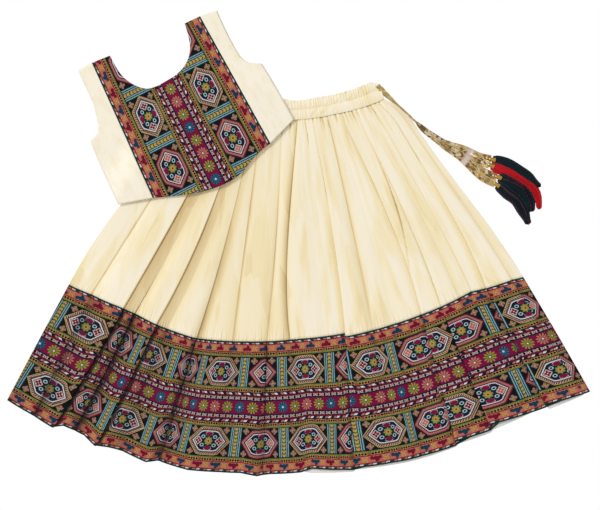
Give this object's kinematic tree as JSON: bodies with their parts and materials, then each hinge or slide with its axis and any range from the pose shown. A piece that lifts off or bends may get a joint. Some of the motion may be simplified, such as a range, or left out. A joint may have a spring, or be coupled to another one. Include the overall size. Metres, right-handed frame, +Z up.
{
  "type": "lehenga choli",
  "caption": "Child's lehenga choli laid flat: pleated silk skirt with brocade border and tasselled drawstring, sleeveless choli lying over its waist.",
  "frame": {"origin": "middle of the garment's outline on the surface that it lies on, cord and tassels left out", "axes": "+X along the skirt's hem to its right, +Y from the hem to the waist, +Z up from the surface"},
  "size_m": [0.9294, 0.744, 0.0126],
  "materials": {
    "silk": "cream silk with a soft satin sheen",
    "choli_silk": "pale cream silk, soft sheen",
    "brocade": "woven multicolour brocade with gold thread, matte",
    "lining": "white cotton lining, matte",
    "zari": "gold metallic thread tape, glinting",
    "cap_metal": "gold-coloured bead caps",
    "silk_teal": "dark teal silk floss",
    "silk_red": "crimson silk floss"
  },
  "bodies": {
    "root": {"waistband_front": "silk", "waistband_back": "silk", "skirt_front": "silk", "skirt_back": "silk", "border_front": "brocade", "border_back": "brocade", "skirt_lining_hem": "lining", "choli_back": "choli_silk", "choli_front_left": "choli_silk", "choli_front_center": "brocade", "choli_front_right": "choli_silk", "drawstring_tape": "zari", "streamer_1": "zari", "tassel_cap_1": "cap_metal", "tassel_1": "silk_teal", "streamer_2": "zari", "tassel_cap_2": "cap_metal", "tassel_2": "silk_red", "streamer_3": "zari", "tassel_cap_3": "cap_metal", "tassel_3": "silk_teal", "streamer_4": "zari", "tassel_cap_4": "cap_metal", "tassel_4": "silk_teal"}
  },
  "joints": []
}
